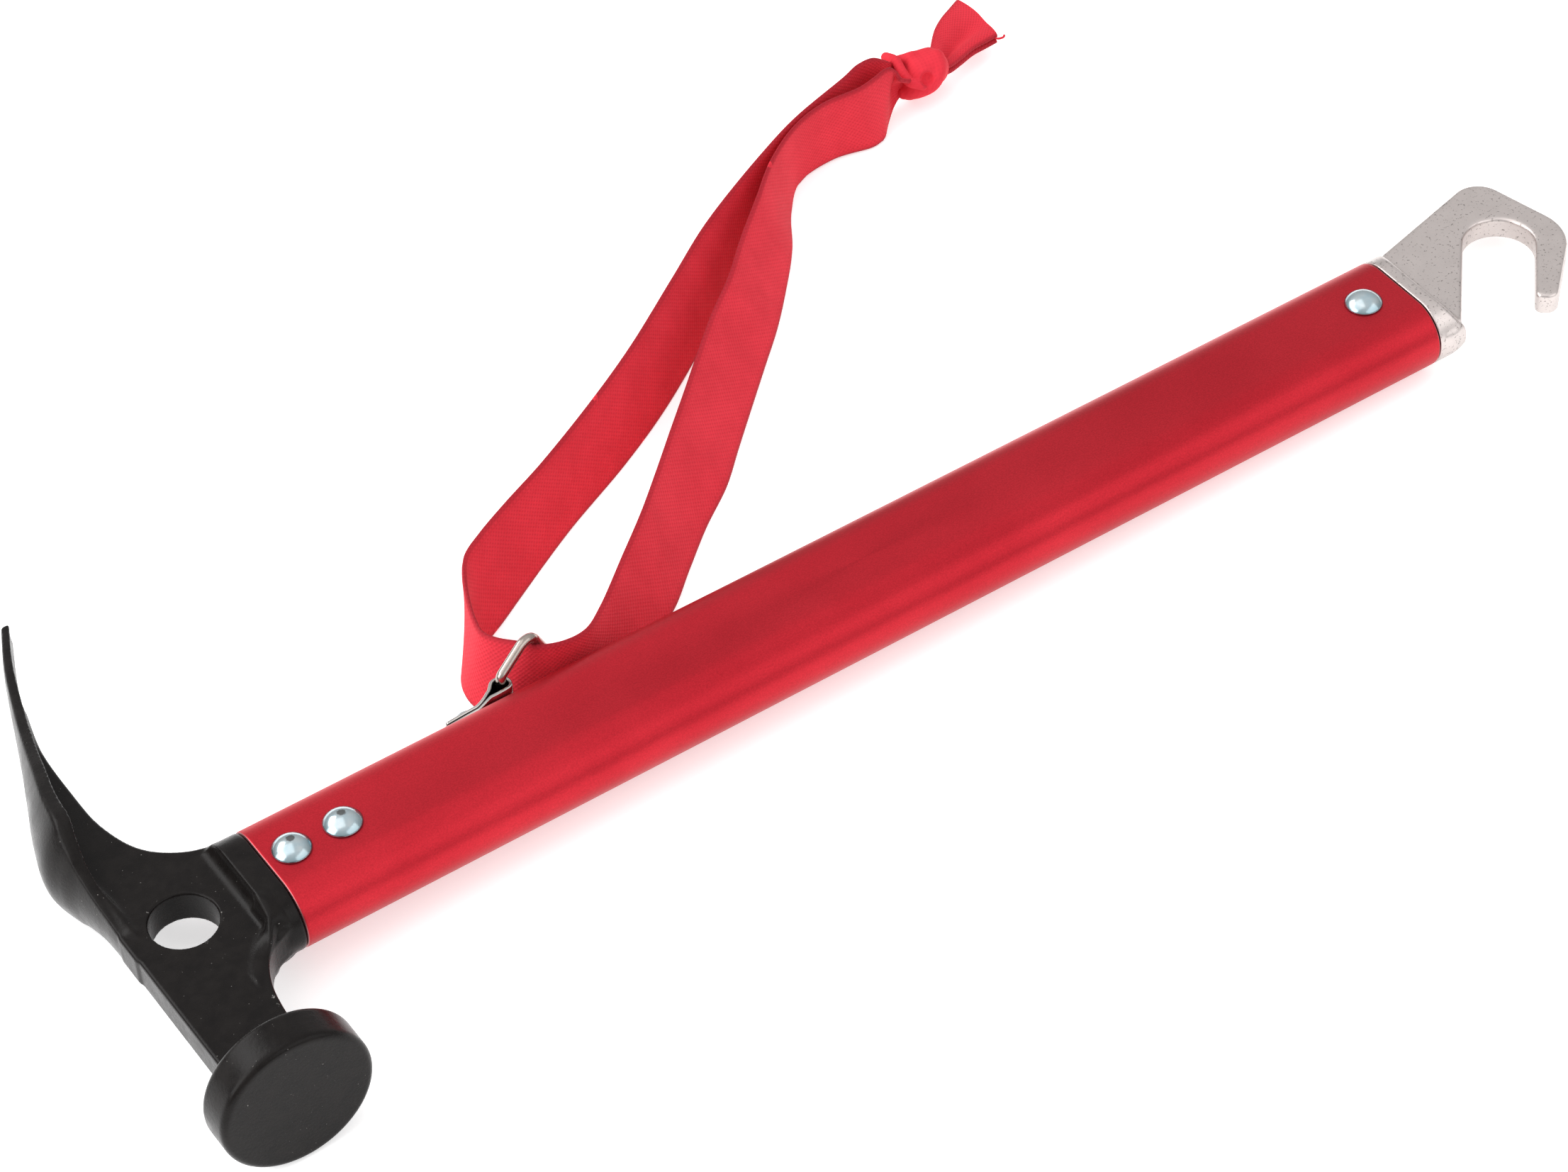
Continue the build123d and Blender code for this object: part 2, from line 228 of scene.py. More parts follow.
class Nodes:
    """Short names for building one node material around a Principled shader."""

    def __init__(self, name, **sockets):
        self.material = bpy.data.materials.new(name)
        self.material.use_nodes = True
        self.tree = self.material.node_tree
        self.shader = self.tree.nodes["Principled BSDF"]
        for socket, value in sockets.items():
            self.shader.inputs[socket.replace("_", " ")].default_value = value

    def add(self, kind, links=(), **settings):
        """A node with its settings; links maps its input sockets to outputs or fixed values."""
        node = self.tree.nodes.new("ShaderNode" + kind)
        for key, value in settings.items():
            setattr(node, key, value)
        for socket, source in dict(links).items():
            if isinstance(source, bpy.types.NodeSocket):
                self.tree.links.new(source, node.inputs[socket])
            else:
                node.inputs[socket].default_value = source
        return node

    def place(self, scale=(1, 1, 1), uv=False):
        """Coordinates in millimetres in the row frame, or along and across the surface."""
        source = self.add("TexCoord").outputs["UV" if uv else "Object"]
        return self.add("Mapping", {"Vector": source, "Scale": scale}).outputs[0]

    def noise(self, place, scale, detail=3.0, rough=0.5, distortion=0.0):
        links = {"Vector": place, "Scale": scale, "Detail": detail}
        links |= {"Roughness": rough, "Distortion": distortion}
        return self.add("TexNoise", links).outputs["Fac"]

    def ramp(self, value, low, high, out_low=0.0, out_high=1.0):
        links = {"Value": value, "From Min": low, "From Max": high, "To Min": out_low, "To Max": out_high}
        return self.add("MapRange", links).outputs[0]

    def math(self, kind, a, b=0.0):
        return self.add("Math", {0: a, 1: b}, operation=kind).outputs[0]

    def mix(self, share, a, b):
        node = self.add("Mix", data_type="RGBA")
        for index, source in ((0, share), (6, a), (7, b)):
            if isinstance(source, bpy.types.NodeSocket):
                self.tree.links.new(source, node.inputs[index])
            else:
                node.inputs[index].default_value = source
        return node.outputs[2]

    def set(self, socket, source):
        self.tree.links.new(source, self.shader.inputs[socket])

    def bump(self, height, strength, distance_mm, under=None):
        links = {"Height": height, "Strength": strength, "Distance": distance_mm * MM}
        if under is not None:
            links["Normal"] = under
        return self.add("Bump", links).outputs[0]

    def edge_wear(self, low, high):
        """How convex the surface is, from the mesh itself: 0 on flats, 1 on sharp outer edges."""
        return self.ramp(self.add("NewGeometry").outputs["Pointiness"], low, high)


PER_M = 1000.0  # object coordinates are metres, so this scale makes texture sizes read in millimetres


def black_coating():
    m = Nodes("black_coating", Specular_IOR_Level=0.13, Sheen_Weight=0.06, Sheen_Roughness=0.3)
    mm = m.place((PER_M, PER_M, PER_M))
    peel = m.noise(mm, 1.6, 3.0, 0.55)
    grit = m.noise(mm, 7.0, 2.0, 0.6)
    patches = m.noise(mm, 0.35, 4.0, 0.6)
    m.set("Roughness", m.ramp(patches, 0.3, 0.7, 0.2, 0.34))
    edge = m.edge_wear(0.53, 0.58)
    broken = m.ramp(m.noise(mm, 1.1, 6.0, 0.75), 0.52, 0.62)
    chips = m.math("MULTIPLY", edge, broken)
    specks = m.ramp(m.noise(mm, 2.6, 2.0, 0.4), 0.765, 0.79)
    bare = m.math("MAXIMUM", m.math("MULTIPLY", chips, 0.75), m.math("MULTIPLY", specks, 0.5))
    coat = m.mix(m.ramp(patches, 0.3, 0.7), (0.0050, 0.0040, 0.0038, 1), (0.0090, 0.0072, 0.0066, 1))
    m.set("Base Color", m.mix(bare, coat, (0.42, 0.40, 0.38, 1)))
    m.set("Metallic", m.math("MULTIPLY", bare, 0.8))
    fine = m.bump(grit, 0.35, 0.02)
    m.set("Normal", m.bump(peel, 0.55, 0.06, fine))
    return m.material


def red_anodised():
    m = Nodes("red_anodised", Metallic=0.92, Anisotropic=0.45)
    drawn = m.place((PER_M * 0.05, PER_M, PER_M))
    mm = m.place((PER_M, PER_M, PER_M))
    lines = m.noise(drawn, 3.2, 4.0, 0.65)
    grain = m.noise(mm, 3.4, 3.0, 0.7)
    cloud = m.noise(mm, 0.05, 3.0, 0.5)
    base = m.mix(m.ramp(cloud, 0.35, 0.65), (0.455, 0.017, 0.028, 1), (0.50, 0.021, 0.033, 1))
    tone = m.mix(m.ramp(grain, 0.3, 0.7), (0.84, 0.84, 0.84, 1), (1.14, 1.14, 1.14, 1))
    tinted = m.add("Mix", data_type="RGBA", blend_type="MULTIPLY")
    tinted.inputs[0].default_value = 1.0
    m.tree.links.new(base, tinted.inputs[6])
    m.tree.links.new(tone, tinted.inputs[7])
    along = m.add("SeparateXYZ", {"Vector": mm}).outputs[0]
    from_middle = m.math("ABSOLUTE", m.math("SUBTRACT", along, (TUBE_START + TUBE_END) / 2))
    rim = m.ramp(from_middle, (TUBE_END - TUBE_START) / 2 - 0.22, (TUBE_END - TUBE_START) / 2 - 0.05)
    m.set("Base Color", m.mix(m.math("MULTIPLY", rim, 0.5), tinted.outputs[2], (0.75, 0.55, 0.55, 1)))
    m.set("Roughness", m.ramp(lines, 0.25, 0.75, 0.40, 0.48))
    m.set("Normal", m.bump(grain, 0.3, 0.012, m.bump(lines, 0.25, 0.01)))
    return m.material


def plated_metal(name, colour, dark, rough_low, rough_high, peel_size, pits, painted_shade_inside=False):
    """Plated steel: a soft uneven surface with fine pits, brighter and smoother on its edges. It can also
    paint shade on the inner faces of a folded strip.
    """
    m = Nodes(name, Metallic=1.0)
    mm = m.place((PER_M, PER_M, PER_M))
    peel = m.noise(mm, peel_size, 4.0, 0.6)
    cloud = m.noise(mm, 0.25, 3.0, 0.6)
    speck = m.ramp(m.noise(mm, 1.7, 3.0, 0.6), pits, pits + 0.035)
    edge = m.edge_wear(0.52, 0.6)
    body = m.mix(m.ramp(cloud, 0.3, 0.7), colour, [c * 0.93 for c in colour[:3]] + [1])
    # Painted shade: the strip's inner faces, between the clip's leaves and round the ring's bar, are painted
    # near black.
    if painted_shade_inside:
        inside = m.add("SeparateXYZ", {"Vector": m.place((1, 1, 1), uv=True)}).outputs[0]
        body = m.mix(m.ramp(inside, 0.1, 0.3), body, (0.035, 0.03, 0.028, 1))
    m.set("Base Color", m.mix(m.math("MULTIPLY", speck, 0.6), body, dark))
    rough = m.ramp(peel, 0.3, 0.7, rough_low, rough_high)
    m.set("Roughness", m.math("SUBTRACT", rough, m.math("MULTIPLY", edge, rough_low * 0.6)))
    m.set("Normal", m.bump(peel, 0.35, 0.03))
    return m.material


def rivet_zinc(name, marked):
    """Clear zinc with a bluish cast, painted darker towards the head's rim as shade. When marked, it has one
    small rough mark near the middle.
    """
    m = Nodes(name, Metallic=1.0)
    mm = m.place((PER_M, PER_M, PER_M))
    cloud = m.noise(mm, 0.55, 3.0, 0.5)
    scuff = m.noise(mm, 3.0, 4.0, 0.7)
    tint = m.mix(m.ramp(cloud, 0.3, 0.7), (0.42, 0.53, 0.58, 1), (0.52, 0.58, 0.60, 1))
    place = m.place((1, 1, 1), uv=True)
    centred = m.add("VectorMath", {0: place, 1: (0.25, 0.45, 0.0)}, operation="DISTANCE").outputs["Value"]
    ragged = m.math("ADD", centred, m.math("MULTIPLY", m.noise(mm, 2.2, 4.0, 0.8), 0.9))
    mark = m.ramp(ragged, 1.1, 1.3, 1.0, 0.0)
    # Painted shade: the head darkens towards its rim.
    rim = m.ramp(m.add("VectorMath", {0: place}, operation="LENGTH").outputs["Value"], 2.3, 3.5)
    tint = m.mix(m.math("MULTIPLY", rim, 0.7), tint, (0.20, 0.31, 0.35, 1))
    if marked:
        tint = m.mix(m.math("MULTIPLY", mark, 0.85), tint, (0.10, 0.095, 0.09, 1))
    m.set("Base Color", tint)
    m.set("Roughness", m.ramp(scuff, 0.3, 0.7, 0.15, 0.24))
    m.set("Normal", m.bump(scuff, 0.12, 0.015))
    return m.material


def red_webbing(name, weave_depth):
    """Woven polyester: crosswise ribs stepped by lengthwise yarns, with a denser line by each edge, and
    painted shade in the weave's low parts and in creases.
    """
    m = Nodes(name, Sheen_Weight=0.07, Sheen_Roughness=0.4, Specular_IOR_Level=0.25, Roughness=0.78)
    m.shader.inputs["Sheen Tint"].default_value = (1.0, 0.35, 0.35, 1)
    along_across = m.place((1, 1, 1), uv=True)
    axis = m.add("SeparateXYZ", {"Vector": along_across})
    along, across = axis.outputs[0], axis.outputs[1]
    tau = 2 * math.pi
    rib = m.math("SINE", m.math("MULTIPLY", along, tau / RIB_PITCH))
    yarn = m.math("SINE", m.math("MULTIPLY", across, tau / YARN_PITCH))
    weave = m.math("MULTIPLY", rib, yarn)
    lift = m.math("ADD", m.math("MULTIPLY", weave, 0.5), 0.5)
    fluff = m.noise(m.place((PER_M, PER_M, PER_M)), 5.0, 3.0, 0.6)
    mottle = m.noise(m.place((PER_M, PER_M, PER_M)), 0.12, 3.0, 0.6)
    edge_gap = m.math("ABSOLUTE", m.math("SUBTRACT", m.math("ABSOLUTE", across), STRAP_WIDTH / 2 - 1.25))
    stitch = m.math("MULTIPLY", m.ramp(edge_gap, 0.14, 0.4, 1.0, 0.0), m.ramp(rib, -0.6, 0.4))
    base = m.mix(m.ramp(mottle, 0.35, 0.65), (0.61, 0.021, 0.038, 1), (0.69, 0.027, 0.047, 1))
    # Painted shade: the weave's low parts are painted darker.
    shaded = m.mix(m.ramp(lift, 0.0, 0.55, 0.45 * weave_depth, 0.0), base, (0.40, 0.008, 0.02, 1))
    # Painted shade: concave creases, found from the mesh's pointiness, are painted dark.
    crease_shade = m.ramp(m.add("NewGeometry").outputs["Pointiness"], 0.42, 0.49, 0.85, 0.0)
    shaded = m.mix(crease_shade, shaded, (0.22, 0.004, 0.012, 1))
    m.set("Base Color", m.mix(m.math("MULTIPLY", stitch, 0.25), shaded, (0.42, 0.006, 0.018, 1)))
    m.set("Normal", m.bump(fluff, 0.25, 0.03, m.bump(lift, 0.9 * weave_depth, 0.09)))
    return m.material


def give(obj, material):
    obj.data.materials.clear()
    obj.data.materials.append(material)


# ---------------------------------------------------------------- the hammer's head

HEAD_STEP = 0.28
WEB_HALF = 3.2
BLADE_THICKNESS = 2.0
BLADE_CUP = 16.0
# Along y: the crown's x and half the blade's width
BLADE = np.array(
    (
        (4.0, -10.6, 3.2),
        (10.0, -10.8, 4.1),
        (16.0, -11.7, 6.4),
        (20.0, -12.9, 9.0),
        (24.5, -13.7, 10.9),
        (32.0, -11.7, 10.0),
        (40.0, -8.6, 8.5),
        (48.0, -5.5, 6.6),
        (56.0, -2.6, 5.1),
        (70.0, 2.5, 3.6),
        (80.5, 7.3, 2.4),
    )
)
BLADE_END = 80.4
SPINE_X = -10.6
NECK_END = -38.0
HOLE_RADIUS = 6.0
DISC_RADIUS = 13.9
DISC_HALF = 3.7
COLLAR_MIDDLE = 13.6
COLLAR_HALF = 2.4
COLLAR_FACE = 11.4  # where the collar's side towards the web starts
HEAD_TANG_MIDDLE = 26.5
HEAD_TANG_HALF = 11.7


def head_web_outline():
    """The flat web in plan: down the spine, along the blade, then back past the collar and neck."""
    rib = smooth_curve([(x + 1.9, y) for y, x, _ in BLADE[1:9]], 40)
    pick_side = smooth_curve(
        ((0.6, 58.0), (-1.0, 48.5), (-1.4, 38.0), (-0.9, 27.0), (2.1, 18.5), (7.6, 13.7), (14.0, 11.6)), 48
    )
    hammer_side = smooth_curve(((14.0, -11.7), (8.6, -14.4), (5.6, -19.5), (4.2, -27.0), (4.2, NECK_END)), 48)
    spine = [(SPINE_X + 0.3, NECK_END), (SPINE_X + 0.3, -3.6), (SPINE_X, -2.6), (SPINE_X, 3.0)]
    spine.append((SPINE_X + 0.9, 7.5))
    return np.vstack([spine, rib, pick_side, hammer_side])


def hammer_head():
    """The cast head: web, cupped blade, disc and collar, with its tang inside the tube."""
    low = (-18.0, -44.0, -15.0)
    x, y, z = field_axes(low, (39.4, 82.0, 15.0), HEAD_STEP)
    plan = polygon_distance(x[:, :, 0], y[:, :, 0], head_web_outline())[:, :, None]
    web = both(plan, np.abs(z) - WEB_HALF, 0.55)

    # A raised rim carries the collar's thickness down into the neck on the hammer side
    rise = np.clip((x - 4.8) / 6.2, 0, 1)
    rim_half = WEB_HALF - 0.4 + (6.3 - WEB_HALF) * rise * rise
    near_edge = np.abs(plan + 1.5) - 1.5
    rim = both(np.maximum(near_edge, y + 6.0), np.abs(z) - rim_half, 0.9)
    rim = np.maximum(rim, np.maximum(4.0 - x, -25.0 - y))
    # Close to the collar it keeps inside the collar's round side
    oval = flat_oval_distance(y, z, TUBE_WIDTH, TUBE_HEIGHT)
    rim = both(rim, oval - 0.95 * np.clip(COLLAR_FACE - x, 0, None), 0.6)

    fine_y = y[0, :, 0]
    crown = np.interp(fine_y, *smooth_curve(BLADE, 300)[:, :2].T)[None, :, None].astype(np.float32)
    half = np.interp(fine_y, *smooth_curve(BLADE, 300)[:, (0, 2)].T)[None, :, None].astype(np.float32)
    slope = np.gradient(crown[0, :, 0], fine_y)[None, :, None]
    radial = np.sqrt((x - crown - BLADE_CUP) ** 2 + z**2)
    thick = np.interp(fine_y, (50.0, BLADE_END), (BLADE_THICKNESS, 1.6))[None, :, None] / 2
    shell = (np.abs(radial - (BLADE_CUP - thick)) - thick) / np.sqrt(1 + slope**2)
    shell = np.where(x > crown + BLADE_CUP * 0.8, 10.0, shell)
    leaf = both(shell, np.abs(z) - half, 0.4)
    leaf = both(leaf, np.maximum(y - BLADE_END, 2.0 - y), 0.7)

    across = np.sqrt((x - DISC_X) ** 2 + z**2) - DISC_RADIUS
    disc = both(across, np.abs(y - DISC_Y) - DISC_HALF, 1.2)

    collar = both(oval, np.abs(x - COLLAR_MIDDLE) - COLLAR_HALF, 0.35)
    tang = flat_oval_distance(y, z, TANG_WIDTH, TANG_HEIGHT)
    tang = both(tang, np.abs(x - HEAD_TANG_MIDDLE) - HEAD_TANG_HALF, 0.4)

    # Fillets fade out towards the outer faces, so that a join never swells past the outline
    solid = joined(web, leaf, np.clip(x - crown - 0.8, 0.05, 2.0))
    solid = joined(solid, rim, np.clip(-plan, 0.05, 1.4))
    solid = joined(solid, collar, np.clip(0.3 - 1.2 * plan, 0.05, 2.3))
    solid = joined(solid, disc, 0.9)
    solid = np.minimum(np.where(x > 15.98, 10.0, solid), tang)
    solid = cut(solid, np.sqrt(x**2 + y**2) - HOLE_RADIUS, 0.25)
    for rivet_x in HEAD_RIVETS_X:
        solid = cut(solid, np.sqrt((x - rivet_x) ** 2 + y**2) - RIVET_HOLE_RADIUS, 0.1)
    return solid_from_field("head", solid, low, HEAD_STEP)


# ---------------------------------------------------------------- the peg hook

HOOK_STEP = 0.26
PLATE_HALF = 2.35
MOUTH_X, MOUTH_Y, MOUTH_R = 282.2, 2.1, 6.75
MOUTH_TURN = math.radians(229.7)
ARM_LENGTH = 14.5
HOOK_COLLAR_START = 256.4
HOOK_COLLAR_END = 262.4
HOOK_TANG_MIDDLE = 247.6
HOOK_TANG_HALF = 9.4


def hook_plate_outline():
    """The hook's plate in plan before its mouth is cut, corners rounded."""
    back = arc_points((286.6, 13.2), 5.4, 100, 12, 10)
    bend = arc_points((285.3, 0.9), 9.5, 12, -47, 14)
    arm_and_neck = [(279.6, -17.4), (276.0, -16.0), (258.0, -12.2)]
    return np.vstack([[(258.0, 11.6), (261.8, 12.5)], back, bend, arm_and_neck])


def arc_points(centre, radius, start_deg, end_deg, count):
    """Points along an arc in plan."""
    turn = np.radians(np.linspace(start_deg, end_deg, count))
    return np.stack([centre[0] + radius * np.cos(turn), centre[1] + radius * np.sin(turn)], axis=1)


def peg_hook():
    """The flat hook with its mouth, its collar against the tube's end and its tang inside the tube."""
    low = (237.0, -18.0, -8.0)
    x, y, z = field_axes(low, (297.0, 21.5, 8.0), HOOK_STEP)
    plan_x, plan_y = x[:, :, 0], y[:, :, 0]
    outline = polygon_distance(plan_x, plan_y, hook_plate_outline())
    along = (plan_x - MOUTH_X) * math.cos(MOUTH_TURN) + (plan_y - MOUTH_Y) * math.sin(MOUTH_TURN)
    side = -(plan_x - MOUTH_X) * math.sin(MOUTH_TURN) + (plan_y - MOUTH_Y) * math.cos(MOUTH_TURN)
    mouth = np.where(along > 0, np.abs(side), np.sqrt(along**2 + side**2)) - MOUTH_R
    arm_tip = np.where(side > 0, along - ARM_LENGTH, -5.0)
    plate = cut(both(outline, arm_tip, 1.9), mouth, 1.3)[:, :, None]
    plate = both(plate, np.abs(z) - PLATE_HALF, 0.75)

    oval = flat_oval_distance(y, z, TUBE_WIDTH, TUBE_HEIGHT)
    # The collar slopes down to the plate from ramp_top, over a length of run
    ramp_top = 259.2
    run, drop = 2.9, TUBE_HEIGHT / 2 - PLATE_HALF
    ramp = ((np.abs(z) - TUBE_HEIGHT / 2) * run + (x - ramp_top) * drop) / math.hypot(run, drop)
    collar = both(both(oval, HOOK_COLLAR_START - x, 0.3), ramp, 0.6)
    collar = both(collar, x - HOOK_COLLAR_END, 0.2)
    tang = flat_oval_distance(y, z, TANG_WIDTH, TANG_HEIGHT)
    tang = both(tang, np.abs(x - HOOK_TANG_MIDDLE) - HOOK_TANG_HALF, 0.4)
    solid = np.minimum(joined(plate, collar, 0.8), 10.0)
    solid = np.minimum(np.where(x < 256.42, 10.0, solid), tang)
    solid = cut(solid, np.sqrt((x - HOOK_RIVET_X) ** 2 + y**2) - RIVET_HOLE_RADIUS, 0.1)
    return solid_from_field("hook", solid, low, HOOK_STEP)


# ---------------------------------------------------------------- handle tube


def flat_oval_ring(width, height, straight=10, round_=40):
    """Points round a flat oval in the YZ plane, anticlockwise seen from +X."""
    r = height / 2
    flat = (width - height) / 2
    points = []
    for centre, start in ((flat, -90), (-flat, 90)):
        for turn in np.radians(np.linspace(start, start + 180, round_)):
            points.append((centre + r * math.cos(turn), r * math.sin(turn)))
        side = 1 if start < 0 else -1
        for share in np.linspace(0, 1, straight + 1)[1:-1]:
            points.append((side * flat * (1 - 2 * share), side * r))
    return points


def handle_tube():
    """The tube with its wall, its ends cut square and lightly rounded."""
    wall = 1.5
    # Distance from the tube's end and how far inside its outer face, from the bore out over the rim
    edge = ((4.0, wall), (0.12, wall), (0.0, wall - 0.12), (0.0, 0.3))
    edge += ((0.05, 0.13), (0.14, 0.04), (0.32, 0.0))
    stations = [(TUBE_START + a, inset) for a, inset in edge]
    inward = [0.6, 1.0, 1.6, 2.6]
    stations += [(TUBE_START + a, 0.0) for a in inward]
    stations += [(x, 0.0) for x in np.linspace(TUBE_START + 5, TUBE_END - 5, 47)]
    stations += [(TUBE_END - a, 0.0) for a in inward[::-1]]
    stations += [(TUBE_END - a, inset) for a, inset in edge[::-1]]
    points = []
    for x, inset in stations:
        ring = flat_oval_ring(TUBE_WIDTH - 2 * inset, TUBE_HEIGHT - 2 * inset)
        points += [(x, y, z) for y, z in ring]
    columns = len(points) // len(stations)
    return make_object("tube", points, grid_faces(len(stations), columns, True, True))


# ---------------------------------------------------------------- rivets


def dome_profile(radius, height, rim, count=14):
    """(radius, height) points of a rivet's head from its rim up to the axis."""
    rise = height - rim
    ball = (radius**2 + rise**2) / (2 * rise)
    widest = math.asin(radius / ball)
    turns = np.linspace(widest, 0, count)
    points = [(ball * math.sin(a), rim + ball * math.cos(a) - (ball - rise)) for a in turns]
    return [(radius - 0.12, 0.0), (radius, 0.1)] + points


def rivet(name, x):
    """Head and shank and formed tail, as one turned piece."""
    face, shank = TUBE_HEIGHT / 2, 2.0
    top = [(r, face + h) for r, h in dome_profile(3.5, 2.1, 0.32)]
    tail = [(r, -face - h) for r, h in dome_profile(3.2, 1.6, 0.3)]
    profile = tail[::-1] + [(shank, -6.98), (shank, 6.98)] + top
    return lathe(name, profile, (x, 0, 0), Matrix.Identity(4))


def clip_rivet():
    """A blind rivet through the clip, with its swollen end inside the tube."""
    seat = 13.94
    head = [(r, h) for r, h in dome_profile(2.3, 1.0, 0.2)]
    profile = [(0, -5.9), (1.2, -5.7), (2.0, -4.9), (2.0, -4.2), (1.5, -3.5), (1.5, -0.02)] + head
    return lathe("clip_pin", profile, (CLIP_RIVET_X, seat, 0), Matrix.Rotation(math.radians(-90), 4, "X"))


# ---------------------------------------------------------------- ring and clip

BAR_X, BAR_Y = 70.6, 14.6
WIRE = 0.95
RING_TURN = math.radians(15.0)
# The corners of half the ring: distance from the bar, and height
RING_CORNERS = ((0, 0), (0, 6.2), (7.6, 11.0), (11.0, 4.2), (11.0, 0))
RING_RADII = (1.2, 2.6, 5.6)
RING_SLIDE = -0.9  # the ring sits this much lower than the middle of its bar
CLIP_THICKNESS = 0.7
CLIP_HALF_WIDTH = 4.0
CLIP_END_X = 58.6
CLIP_RIVET_X = 62.2
CLIP_FULL_WIDTH_X = 66.5
CLIP_END_SHARE = 0.64  # how wide the clip's riveted end is, of its full width


def rounded_corners(corners, radii, count=10):
    """A line through corners in a plane, each inner corner replaced by an arc of its radius."""
    corners = np.array(corners, float)
    points = [corners[0]]
    for before, here, after, radius in zip(corners[:-2], corners[1:-1], corners[2:], radii):
        back = (before - here) / np.linalg.norm(before - here)
        on = (after - here) / np.linalg.norm(after - here)
        half = math.acos(back @ on) / 2
        centre = here + (back + on) / np.linalg.norm(back + on) * radius / math.sin(half)
        start, end = here + back * radius / math.tan(half), here + on * radius / math.tan(half)
        for share in np.linspace(0, 1, count):
            spoke = start + (end - start) * share - centre
            points.append(centre + spoke / np.linalg.norm(spoke) * radius)
    return np.array(points + [corners[-1]])


def d_ring():
    """A wire D, hinged on its bar and turned RING_TURN from the tube."""
    half = rounded_corners(RING_CORNERS, RING_RADII)
    outline = np.vstack([half, (half * (1, -1))[-2:0:-1]])
    outline = smooth_loop(outline, 200)
    cos, sin = math.cos(RING_TURN), math.sin(RING_TURN)
    path = [(BAR_X + u * cos, BAR_Y + u * sin, v + RING_SLIDE) for u, v in outline]
    return swept_tube("ring", path, WIRE, sides=24, closed=True)


def ring_clip():
    """A steel strip folded back on itself round the ring's bar. Its leaves follow the tube's round side."""
    thick, half_width = CLIP_THICKNESS, CLIP_HALF_WIDTH
    tube_radius = TUBE_HEIGHT / 2
    inner = TUBE_WIDTH / 2 + thick / 2 + 0.01
    outer = inner + thick + 0.02
    loop = WIRE + thick / 2 + 0.08
    path = smooth_curve(
        (
            (CLIP_END_X, inner),
            (62.0, inner),
            (66.6, inner),
            (69.6, inner + 0.04),
            (BAR_X + 0.75 * loop, BAR_Y - 0.95 * loop),
            (BAR_X + 1.04 * loop, BAR_Y),
            (BAR_X + 0.72 * loop, BAR_Y + 0.76 * loop),
            (BAR_X, BAR_Y + loop),
            (BAR_X - 1.2, BAR_Y + 0.86 * loop),
            (BAR_X - 2.9, outer + 0.55),
            (BAR_X - 4.8, outer + 0.02),
            (62.0, outer),
            (CLIP_END_X, outer),
        ),
        120,
    )
    tangent = np.gradient(path, axis=0)
    tangent /= np.linalg.norm(tangent, axis=1)[:, None]
    normal = np.stack([-tangent[:, 1], tangent[:, 0]], axis=1)
    ease = 0.12
    section = []
    for sign in (1, -1):
        across = np.linspace(-1, 1, 7) * (half_width - ease) * sign
        section += [(sign * thick / 2, a) for a in across]
        corner = thick / 2 - ease
        section += [(sign * corner, sign * half_width), (-sign * corner, sign * half_width)]
    points, uv = [], []
    for p, n in zip(path, normal):
        hug = np.clip((BAR_X - 3.2 - p[0]) / 3.0, 0, 1)
        taper = np.interp(p[0], (CLIP_END_X, CLIP_FULL_WIDTH_X), (CLIP_END_SHARE, 1.0))
        for off, a in section:
            drop = hug * (tube_radius - math.sqrt(tube_radius**2 - (a * taper) ** 2))
            points.append((p[0] + n[0] * off, p[1] + n[1] * off - drop, a * taper))
            # The first uv value tells which face of the strip a point is on; the material paints shade on the
            # inner faces.
            uv.append((off, a))
    columns = len(section)
    faces = grid_faces(len(path), columns, closed_columns=True)
    faces.append(tuple(range(columns))[::-1])
    faces.append(tuple(range((len(path) - 1) * columns, len(path) * columns)))
    return make_object("clip", points, faces, uv)


# ---------------------------------------------------------------- wrist strap

STRAP_WIDTH = 15.0
STRAP_THICKNESS = 0.9
STRAP_ROWS = 900
STRAP_COLUMNS = 31
RIB_PITCH = 1.0
YARN_PITCH = 0.9
LOOP_LENGTH = 355.0
GATHERED_LENGTH = 11.0
